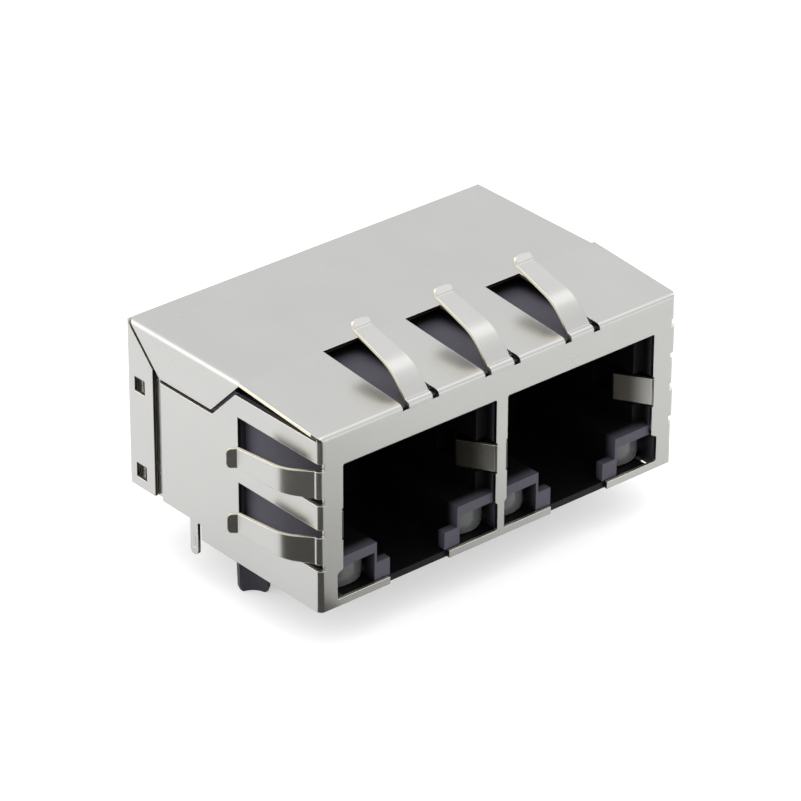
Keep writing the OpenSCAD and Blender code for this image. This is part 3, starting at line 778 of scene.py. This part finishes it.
def fingerGrid(start, moves, look):
    # point(s, k) = (side * w(s), line(s) + face * normal(s) * t / 2), and w narrows to a rounded tip
    line, heading, left = fingerLine(start, moves, look)
    share = np.clip((line[:, 0] - look["foldOut"]) / (look["taperEnd"] - look["foldOut"]), 0, 1)
    width = look["rootHalf"] + (look["tipHalf"] - look["rootHalf"]) * share
    r = look["tipRound"]
    width = width - r + np.sqrt(np.maximum(r * r - np.maximum(r - left, 0) ** 2, 0))
    outward = np.column_stack([-np.sin(heading), np.cos(heading)]) * look["halfSheet"]
    corners = []
    for side, face in ((-1, 1), (1, 1), (1, -1), (-1, -1)):
        corners.append(np.column_stack([side * width, line + face * outward]))
    return np.stack(corners, axis=1)


def plateGrid(look, side):
    # point(v, k) = (ring(k), z(v)): plug face that closes a side slot's root above or below its finger
    low, high = look["sideStart"], look["sideStart"] + look["plateHeight"]
    near, far = side * (look["rootHalf"] + look["plateGap"]), side * look["slotHalf"]
    deep = look["halfSheet"] * 2
    ring = np.array([(near, 0.0), (far, 0.0), (far, deep), (near, deep)])
    return np.stack([np.column_stack([ring, np.full(4, z)]) for z in (low, high)])


def markFingers(mesh, look):
    # face values for the finish: sheared edges, how bright they are painted, and the undersides that get
    # painted light
    normals = np.empty(len(mesh.polygons) * 3)
    spots = np.empty(len(mesh.polygons) * 3)
    mesh.polygons.foreach_get("normal", normals)
    mesh.polygons.foreach_get("center", spots)
    normals, spots = normals.reshape(-1, 3), spots.reshape(-1, 3)
    onRoof = np.abs(spots[:, 0]) < look["roofWithin"]
    edge = np.where(onRoof, np.abs(normals[:, 0]), np.abs(normals[:, 2])) > 0.5
    # painted light: roof finger edges facing left or up count as lit
    roofBright = np.maximum(-normals[:, 0], litFromAbove(normals[:, 2]))
    bright = np.where(onRoof, roofBright, normals[:, 2])
    faceValues(mesh, "shearedEdge", edge)
    faceValues(mesh, "shearedUp", np.clip(bright, 0, 1))
    faceValues(mesh, "underSide", onRoof & (normals[:, 2] < look["underBelow"]) & ~edge)


def buildSpringFingers(look):
    # three fingers on the roof and two on each side, folded over the front edge
    roof = fingerGrid(look["roofStart"], look["roofMoves"], look)
    flank = fingerGrid(look["sideStart"], look["sideMoves"], look)
    plates = [plateGrid(look, side) for side in (-1, 1)]
    grids = [roof + np.array([x, look["plugFace"], look["roofFront"]]) for x in look["roofMiddles"]]
    for side in (-1, 1):
        for z in look["sideMiddles"]:
            for grid in (flank, *plates):
                outward = side * (look["halfBody"] + grid[:, :, 2])
                grids.append(np.stack([outward, grid[:, :, 1] + look["plugFace"], z + grid[:, :, 0]], axis=2))
    made = meshPiece("springFingers", grids, finishes["sheet"], look["smooth"])
    markFingers(made.data, look)
    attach(made, "root")


def markSheet(mesh, work, look):
    # face values for the finish: narrow faces with far metal behind them are sheared edges
    tree = BVHTree.FromBMesh(work)
    sheared = np.zeros(len(mesh.polygons))
    bright = np.zeros(len(mesh.polygons))
    for face in work.faces:
        spot = face.calc_center_median()
        depth = tree.ray_cast(spot - face.normal * look["castFrom"], -face.normal)[3]
        width = 2 * face.calc_area() / max(edge.calc_length() for edge in face.edges)
        deep = depth is not None and depth > look["sheet"] * look["deeper"]
        sheared[face.index] = deep and width < look["sheet"] * look["narrower"]
        # painted light: an edge facing up, and above the roof one facing left, is coloured as lit
        bright[face.index] = litFromAbove(face.normal.z)
        if spot.z > look["fingersAbove"]:
            bright[face.index] = max(bright[face.index], -face.normal.x)
    faceValues(mesh, "shearedEdge", sheared)
    faceValues(mesh, "shearedUp", np.clip(bright, 0, 1))


def buildShieldSkin(source, look):
    # a merged copy of the folded sheet without its plain fingers
    mesh = source.data.copy()
    work = bmesh.new()
    work.from_mesh(mesh)
    bmesh.ops.remove_doubles(work, verts=work.verts, dist=mergeWithin)
    clearFingers(work, springFinger)
    bmesh.ops.triangulate(work, faces=work.faces)
    work.to_mesh(mesh)
    markSheet(mesh, work, look)
    work.free()
    mesh.shade_smooth()
    mesh.set_sharp_from_angle(angle=math.radians(look["sharp"]))
    blendNormals(mesh, look)
    made = bpy.data.objects.new("shieldSkin", mesh)
    bpy.context.collection.objects.link(made)
    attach(made, "root")
    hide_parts("shield")


buildShieldSkin(cadNodes["shield"], shieldSkin)
buildSpringFingers(springFinger)

print("stage: lamp cores")

lampCore = {
    "postWidth": 0.40 * mm,
    "postHeight": 0.34 * mm,
    "postPitch": 1.27 * mm,
    "postRear": 0.02 * mm,  # inside the lamp's back
    "postFront": 0.2 * mm,  # behind the front of the cup
    "cupMouth": 0.52 * mm,  # radius at the front of the reflector cup
    "cupFloor": 0.30 * mm,
    "cupFront": 1.15 * mm,  # behind the lamp's front
    "cupDepth": 0.42 * mm,
    "cupWall": 0.07 * mm,
    "cupGap": 0.03 * mm,
    "dieSize": 0.30 * mm,
    "dieSink": 0.005 * mm,
    "roundness": 0.35,
    "aroundSteps": 32,
    "alongSteps": 18,
}


def bow(v, look):
    return np.sign(v) * np.abs(v) ** look["roundness"]


def sweptPost(path, halfWidth, halfHeight, look):
    # point(s, a) = path(s) + (w * bow(cos a), 0, h * bow(sin a)), bow(v) = sign(v) * |v| ** roundness
    angle = np.linspace(0, 2 * np.pi, look["aroundSteps"], endpoint=False)
    x = halfWidth * bow(np.cos(angle), look)
    z = halfHeight * bow(np.sin(angle), look)
    ring = np.column_stack([x, np.zeros_like(angle), z])
    return path[:, None, :] + ring[None, :, :]


def turnedCup(centre, look):
    # point(t, a) = centre + (r(t) * cos a, y(t), r(t) * sin a)
    # r and y run down inside the cup and back up outside
    wall = look["cupWall"]
    mouth, low, deep = look["cupMouth"], look["cupFloor"], look["cupDepth"]
    radius = np.array([0.0, low, mouth, mouth + wall, low + wall, 0.0])
    depth = np.array([deep, deep, 0.0, 0.0, deep + wall, deep + wall])
    angle = np.linspace(0, 2 * np.pi, look["aroundSteps"], endpoint=False)
    x = radius[:, None] * np.cos(angle)[None, :]
    z = radius[:, None] * np.sin(angle)[None, :]
    y = np.repeat(depth[:, None], len(angle), axis=1)
    return np.stack([x, y, z], axis=2) + centre


def buildLampCore(name, lamp, look):
    # a post that carries the cup, a free post, the cup and the die in it
    spots = np.array([v.co[:] for v in lamp.data.vertices])
    low, high = spots.min(axis=0), spots.max(axis=0)
    x, z = (low[0] + high[0]) / 2, (low[2] + high[2]) / 2
    front, back = low[1] + look["cupFront"], high[1] - look["postRear"]
    half = look["postPitch"] / 2
    along = np.linspace(0, 1, look["alongSteps"])
    ease = along * along * (3 - 2 * along)
    cupFloor = front + look["cupDepth"]
    level = np.full_like(along, z)
    heldY = back + (cupFloor + look["cupGap"] - back) * along
    freeY = back + (front + look["postFront"] - back) * along
    held = np.column_stack([x + half * (1 - ease), heldY, level])
    free = np.column_stack([np.full_like(along, x - half), freeY, level])
    size = (look["postWidth"] / 2, look["postHeight"] / 2)
    die = look["dieSize"] / 2
    dieLine = np.array([[x, cupFloor - look["dieSink"], z], [x, cupFloor - die, z]])
    grids = [
        sweptPost(held, *size, look),
        sweptPost(free, *size, look),
        turnedCup(np.array([x, front, z]), look),
        sweptPost(dieLine, die, die, look),
    ]
    made = meshPiece(name, grids, finishes["tinned"])
    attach(made, "root")


for side in ("left", "right"):
    for place in ("outer", "inner"):
        buildLampCore(f"lampCore_{side}_{place}", cadNodes[f"lamp_{side}_{place}"], lampCore)

print("stage: floor, light and camera")


def flatPiece(name, corners, material):
    # one flat polygon through the given corners
    mesh = bpy.data.meshes.new(name)
    mesh.from_pydata(np.asarray(corners, dtype=float).tolist(), [], [tuple(range(len(corners)))])
    mesh.materials.append(material)
    made = bpy.data.objects.new(name, mesh)
    bpy.context.collection.objects.link(made)
    return made


paleFloor = {
    "z": -3.42 * mm,
    "half": 1.5,
    "colour": (0.60, 0.60, 0.60, 1),
    "tone": 1.02,
    "glow": 0.82,
    "fine": 300.0,
    "coarse": 12.0,
    "rough": (0.75, 0.85),
}


def buildFloor(look):
    material, tree, shader = newMaterial("pale floor")
    noise = useGroup(tree, grain, Fine=look["fine"], Coarse=look["coarse"])
    base = mixColour(tree, noise["Coarse"], look["colour"], toned(look["colour"], look["tone"]))
    tree.links.new(base, shader.inputs["Base Color"])
    tree.links.new(base, shader.inputs["Emission Color"])
    shader.inputs["Emission Strength"].default_value = look["glow"]
    rough(tree, shader, spread(tree, noise["Fine"], *look["rough"]))
    # seen from below, the floor lets the underside show
    side = addNode(tree, "ShaderNodeNewGeometry")
    solid = mathNode(tree, "SUBTRACT", 1.0, side.outputs["Backfacing"])
    tree.links.new(solid, shader.inputs["Alpha"])
    half, z = look["half"], look["z"]
    flatPiece("floor", [(-half, -half, z), (half, -half, z), (half, half, z), (-half, half, z)], material)


# the cards' colours run along X from near to far; flat corners are mm from the body's front left corner
darkCard = {
    "name": "dark card",
    "near": (0.034, 0.029, 0.021, 1),
    "far": (0.42, 0.41, 0.38, 1),
    "run": (-24 * mm, -120 * mm),
}
greyCard = {
    "name": "grey card",
    "near": (0.50, 0.50, 0.49, 1),
    "far": (0.86, 0.86, 0.85, 1),
    "run": (-14 * mm, 16 * mm),
}
cardSet = {
    "tone": 1.15,
    "fine": 400.0,
    "coarse": 30.0,
    "rough": (0.8, 0.95),
    "corner": (-16.1, -10.2),
    "height": paleFloor["z"] + 0.1 * mm,
    "lying": ((5, -70), (5, -1.5), (-2.5, -1.5), (-2.5, 2.5), (-40, 14), (-110, 22), (-110, -70)),
    "grey": ((160, -160), (160, -1.5), (5, -1.5), (5, -160)),
    "standing": ((-0.52, -0.05, 0.0), (0.02, -0.50, 0.0), (0.02, -0.50, 0.30), (-0.52, -0.05, 0.30)),
}


def buildCardFinish(own, look):
    material, tree, shader = newMaterial(own["name"])
    noise = useGroup(tree, grain, Fine=look["fine"], Coarse=look["coarse"])
    far = smoothRange(tree, splitPlace(tree, objectPlace(tree))["X"], *own["run"])
    base = mixColour(tree, noise["Coarse"], own["near"], toned(own["near"], look["tone"]))
    tree.links.new(mixColour(tree, far, base, own["far"]), shader.inputs["Base Color"])
    rough(tree, shader, spread(tree, noise["Fine"], *look["rough"]))
    return material


def buildCards(look):
    # studio cards that only reflections see, for painted reflections: a dark and a grey one on the floor, and
    # a tall dark one
    dark, grey = buildCardFinish(darkCard, look), buildCardFinish(greyCard, look)
    cards = []
    for name, material, corners in (("lying flag", dark, look["lying"]), ("grey flag", grey, look["grey"])):
        flat = (np.array(corners) + np.array(look["corner"])) * mm
        flat = np.column_stack([flat, np.full(len(flat), look["height"])])
        cards.append(flatPiece(name, flat, material))
    cards.append(flatPiece("standing flag", look["standing"], dark))
    for card in cards:
        card.visible_camera = False
        card.visible_shadow = False
        card.visible_diffuse = False


buildFloor(paleFloor)
buildCards(cardSet)

roomLight = {
    # sine of the height above the horizon, and how bright the room is there
    "steps": ((0.0, 1.10), (0.30, 1.15), (0.50, 1.21), (0.70, 1.32), (0.85, 1.55), (1.0, 1.9)),
    "top": 2.5,
}


def buildRoom(look):
    world = bpy.data.worlds.new("soft room")
    world.use_nodes = True
    tree = world.node_tree
    ramp = addNode(tree, "ShaderNodeValToRGB")
    # on a world the Generated coordinate is the direction looked in
    up = splitPlace(tree, addNode(tree, "ShaderNodeTexCoord").outputs["Generated"])["Z"]
    tree.links.new(up, ramp.inputs["Fac"])
    stops = ramp.color_ramp.elements
    while len(stops) < len(look["steps"]):
        stops.new(0.5)
    for stop, (height, light) in zip(stops, look["steps"]):
        stop.position = height
        stop.color = (light / look["top"],) * 3 + (1,)
    backdrop = tree.nodes["Background"]
    tree.links.new(ramp.outputs["Color"], backdrop.inputs["Color"])
    backdrop.inputs["Strength"].default_value = look["top"]
    bpy.context.scene.world = world


buildRoom(roomLight)
bpy.context.scene.view_settings.view_transform = "Standard"

softPanels = {
    "right": {"spot": (0.30, -0.04, 0.40), "aim": (0, 0, 0), "size": (0.16, 0.20), "power": 0.05},
    "front right": {
        "spot": (0.228, -0.323, 0.068),
        "aim": (0, 0, 0.01),
        "size": (0.14, 0.10),
        "power": 0.03,
    },
    "back left": {"spot": (-0.30, 0.44, 0.21), "aim": (0, 0, 0), "size": (0.60, 0.46), "power": 0.95},
}


def addPanel(name, look):
    lamp = bpy.data.lights.new(name, "AREA")
    lamp.shape = "RECTANGLE"
    lamp.size, lamp.size_y = look["size"]
    lamp.energy = look["power"]
    made = bpy.data.objects.new(name, lamp)
    made.location = look["spot"]
    made.rotation_mode = "QUATERNION"
    ahead = Vector(look["aim"]) - Vector(look["spot"])
    made.rotation_quaternion = ahead.to_track_quat("-Z", "Y")
    bpy.context.collection.objects.link(made)


for panelName, panel in softPanels.items():
    addPanel(panelName, panel)

photoCamera = {
    "spot": (-193.53 * mm, -225.80 * mm, 171.11 * mm),
    "look": (0.56856, 0.66469, -0.48469),
    "roll": 0.207,
    "focalPixels": 4880.7,
    "framePixels": 801,
    "sensor": 36.0,
    "clip": (0.01, 10.0),
}


def buildCamera(look):
    ahead = Vector(look["look"]).normalized()
    right = ahead.cross(Vector((0, 0, 1))).normalized()
    up = right.cross(ahead)
    turn = math.radians(look["roll"])
    side = right * math.cos(turn) + up * math.sin(turn)
    top = up * math.cos(turn) - right * math.sin(turn)
    lens = bpy.data.cameras.new("photo camera")
    lens.sensor_width = look["sensor"]
    lens.lens = look["sensor"] * look["focalPixels"] / look["framePixels"]
    lens.clip_start, lens.clip_end = look["clip"]
    made = bpy.data.objects.new("photo camera", lens)
    turned = Matrix((side, top, -ahead)).transposed().to_4x4()
    made.matrix_world = Matrix.Translation(look["spot"]) @ turned
    bpy.context.collection.objects.link(made)
    bpy.context.scene.camera = made


buildCamera(photoCamera)

print("stage: done")
